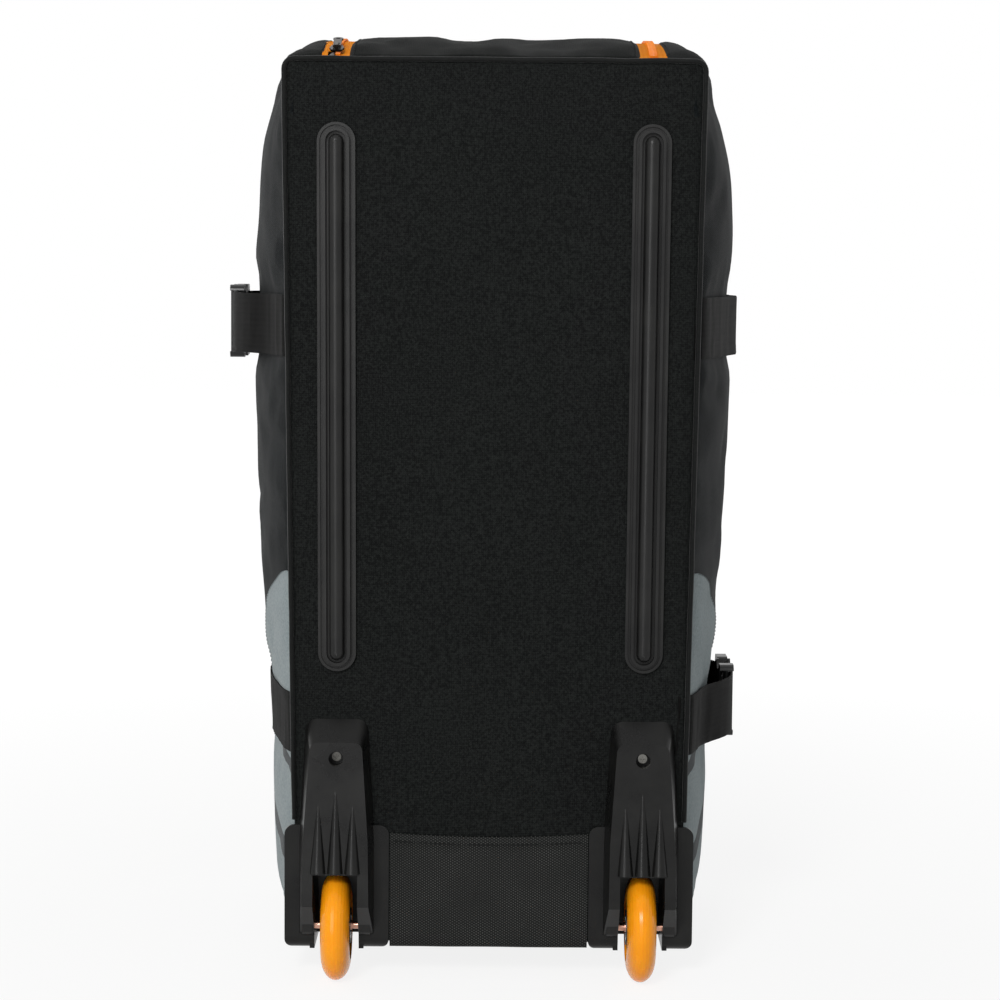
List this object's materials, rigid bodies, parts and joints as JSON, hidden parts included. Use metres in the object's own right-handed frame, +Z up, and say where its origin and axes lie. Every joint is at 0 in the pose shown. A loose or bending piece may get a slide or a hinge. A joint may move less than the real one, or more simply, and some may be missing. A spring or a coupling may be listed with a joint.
{
  "type": "wheeled gear bag",
  "caption": "Upright wheeled gear bag with a soft body, U-shaped zipped lid, compression straps with side-release buckles, skid rails and moulded wheel housings.",
  "frame": {"origin": "on the floor, in the middle of the whole object's width and depth", "axes": "+Z up along the bag, +Y from the wheel side to the lid side, +X to the right of someone who faces the wheel side"},
  "size_m": [0.4368, 0.4138, 0.7787],
  "materials": {
    "charcoal_nylon": "woven nylon, matt",
    "grey_nylon": "woven nylon, matt",
    "black_nylon": "coated nylon, matt",
    "woven_nylon": "coarse basket-weave nylon",
    "piping_cord": "bound piping",
    "webbing": "ribbed nylon webbing",
    "orange_tape": "knitted zip tape",
    "orange_chain": "nylon coil chain",
    "gunmetal": "plated die-cast zinc",
    "stiff_board": "extruded polyethylene board",
    "moulded_rail": "moulded polypropylene, fine texture",
    "moulded_housing": "moulded nylon, fine texture",
    "zinc_screw": "bright zinc plate",
    "urethane": "translucent cast urethane, glossy",
    "hub_plastic": "moulded core",
    "bearing_steel": "ground steel",
    "axle_copper": "copper-coloured plate",
    "rubber_foot": "moulded rubber",
    "acetal": "moulded acetal",
    "grip_rubber": "moulded grip"
  },
  "bodies": {
    "bag_body": {"back_panel": "black_nylon", "back_board": "stiff_board", "base_panel": "charcoal_nylon", "base_board": "stiff_board", "side_panel_left": "charcoal_nylon", "side_panel_right": "charcoal_nylon", "grey_panel_left": "grey_nylon", "grey_panel_right": "grey_nylon", "gusset_left": "black_nylon", "gusset_right": "black_nylon", "front_lower_panel": "black_nylon", "piping": "piping_cord", "reinforcement_panel": "woven_nylon", "zip_tape_body": "orange_tape", "zip_chain_body": "orange_chain", "skid_rail_left": "moulded_rail", "skid_rail_right": "moulded_rail", "rail_screws": "zinc_screw", "wheel_housing_left": "moulded_housing", "wheel_housing_right": "moulded_housing", "housing_screws": "zinc_screw", "backing_plates": "zinc_screw", "axle_sleeve_left": "axle_copper", "axle_sleeve_right": "axle_copper", "axle_bolt_left": "axle_copper", "axle_bolt_right": "axle_copper", "axle_nut_left": "zinc_screw", "axle_nut_right": "zinc_screw", "front_foot_left": "rubber_foot", "front_foot_right": "rubber_foot", "foot_screws": "zinc_screw", "upper_strap_short": "webbing", "upper_strap_long": "webbing", "lower_strap_short": "webbing", "lower_strap_long": "webbing", "upper_buckle_female": "acetal", "lower_buckle_female": "acetal"},
    "wheel_left": {"tyre_left": "urethane", "hub_left": "hub_plastic", "bearings_left": "bearing_steel"},
    "wheel_right": {"tyre_right": "urethane", "hub_right": "hub_plastic", "bearings_right": "bearing_steel"},
    "lid": {"lid_panel": "black_nylon", "zip_tape_lid": "orange_tape", "zip_chain_lid": "orange_chain", "handle_webbing": "webbing", "handle_grip": "grip_rubber"},
    "zip_slider": {"zip_slider": "gunmetal"},
    "zip_pull": {"zip_pull": "gunmetal"},
    "upper_buckle_prong": {"upper_buckle_male": "acetal"},
    "lower_buckle_prong": {"lower_buckle_male": "acetal"}
  },
  "joints": [
    {"name": "wheel_left_spin", "type": "hinge", "parent": "bag_body", "child": "wheel_left", "pos_m": [-0.11834, -0.1619, 0.045], "axis": [1, 0, 0], "continuous": true},
    {"name": "wheel_right_spin", "type": "hinge", "parent": "bag_body", "child": "wheel_right", "pos_m": [0.13246, -0.1619, 0.045], "axis": [1, 0, 0], "continuous": true},
    {"name": "lid_open", "type": "hinge", "parent": "bag_body", "child": "lid", "pos_m": [0, -0.1539, 0.7585], "axis": [1, 0, 0], "range_deg": [0, 110], "deforming": ["upper_strap_long", "lower_strap_long"]},
    {"name": "zip_slide", "type": "hinge", "parent": "lid", "child": "zip_slider", "pos_m": [-0.12094, -0.0299, 0.39911], "axis": [-1, 0, 0], "range_deg": [0, 28]},
    {"name": "zip_pull_flip", "type": "hinge", "parent": "zip_slider", "child": "zip_pull", "pos_m": [-0.12094, -0.14418, 0.76486], "axis": [1, 0, 0], "range_deg": [0, 150]},
    {"name": "upper_buckle_release", "type": "slide", "parent": "bag_body", "child": "upper_buckle_prong", "axis": [0, 1, 0], "range_m": [0, 0.034], "deforming": ["upper_strap_long"]},
    {"name": "lower_buckle_release", "type": "slide", "parent": "bag_body", "child": "lower_buckle_prong", "axis": [0, 1, 0], "range_m": [0, 0.034], "deforming": ["lower_strap_long"]}
  ]
}
